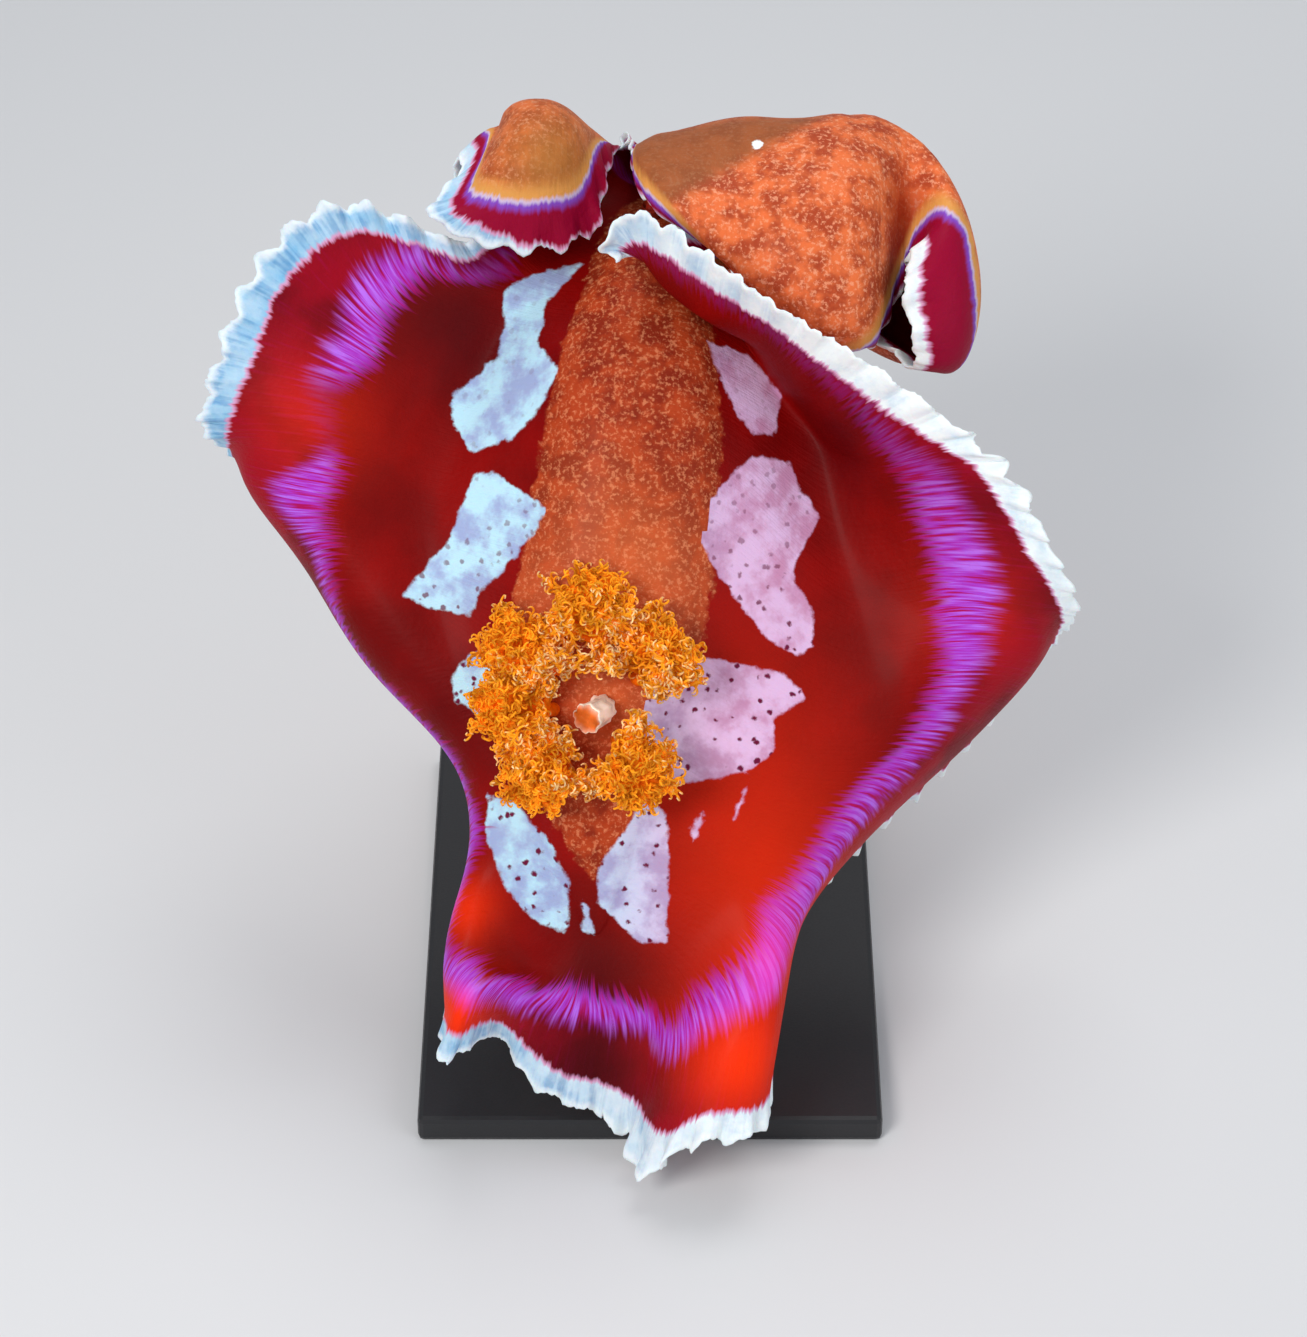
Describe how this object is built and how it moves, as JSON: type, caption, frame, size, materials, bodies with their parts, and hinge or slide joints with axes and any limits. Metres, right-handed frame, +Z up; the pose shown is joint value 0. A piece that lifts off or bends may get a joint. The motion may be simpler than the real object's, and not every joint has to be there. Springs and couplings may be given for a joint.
{
  "type": "spanish dancer nudibranch",
  "caption": "Swimming spanish dancer sea slug with broad folded mantle, crown of branched gills, rhinophores and oral tentacles, on a plain display base with slim rods.",
  "frame": {"origin": "middle of the display base's underside, on the floor", "axes": "+Z up; +X to the animal's right, which is the viewer's right in front; +Y away from the viewer, so the animal's back faces -Y and up"},
  "size_m": [0.2208, 0.198, 0.2279],
  "materials": {
    "back": "wet gloss",
    "mantle": "wet gloss",
    "foot": "wet gloss",
    "gill": "wet gloss",
    "papilla": "wet gloss",
    "rhinophore": "wet gloss",
    "stand_base": "satin",
    "stand_rod": "satin"
  },
  "bodies": {
    "root": {"torso_rear": "back", "torso_front": "back", "foot_rear": "foot", "foot_front": "foot", "head": "foot", "mantle_right_rear": "mantle", "mantle_right_lobe": "mantle", "mantle_right_flap": "mantle", "mantle_front_cup": "mantle", "mantle_front_hood": "mantle", "mantle_front_scroll": "mantle", "mantle_left_lobe": "mantle", "mantle_left_rear": "mantle", "mantle_tail": "mantle", "gill_1": "gill", "gill_2": "gill", "gill_3": "gill", "gill_4": "gill", "gill_5": "gill", "gill_6": "gill", "anal_papilla": "papilla", "rhinophore_left": "rhinophore", "rhinophore_right": "rhinophore", "oral_tentacle_left": "foot", "oral_tentacle_right": "foot", "stand_base": "stand_base", "stand_rod_rear": "stand_rod", "stand_rod_front": "stand_rod"}
  },
  "joints": []
}
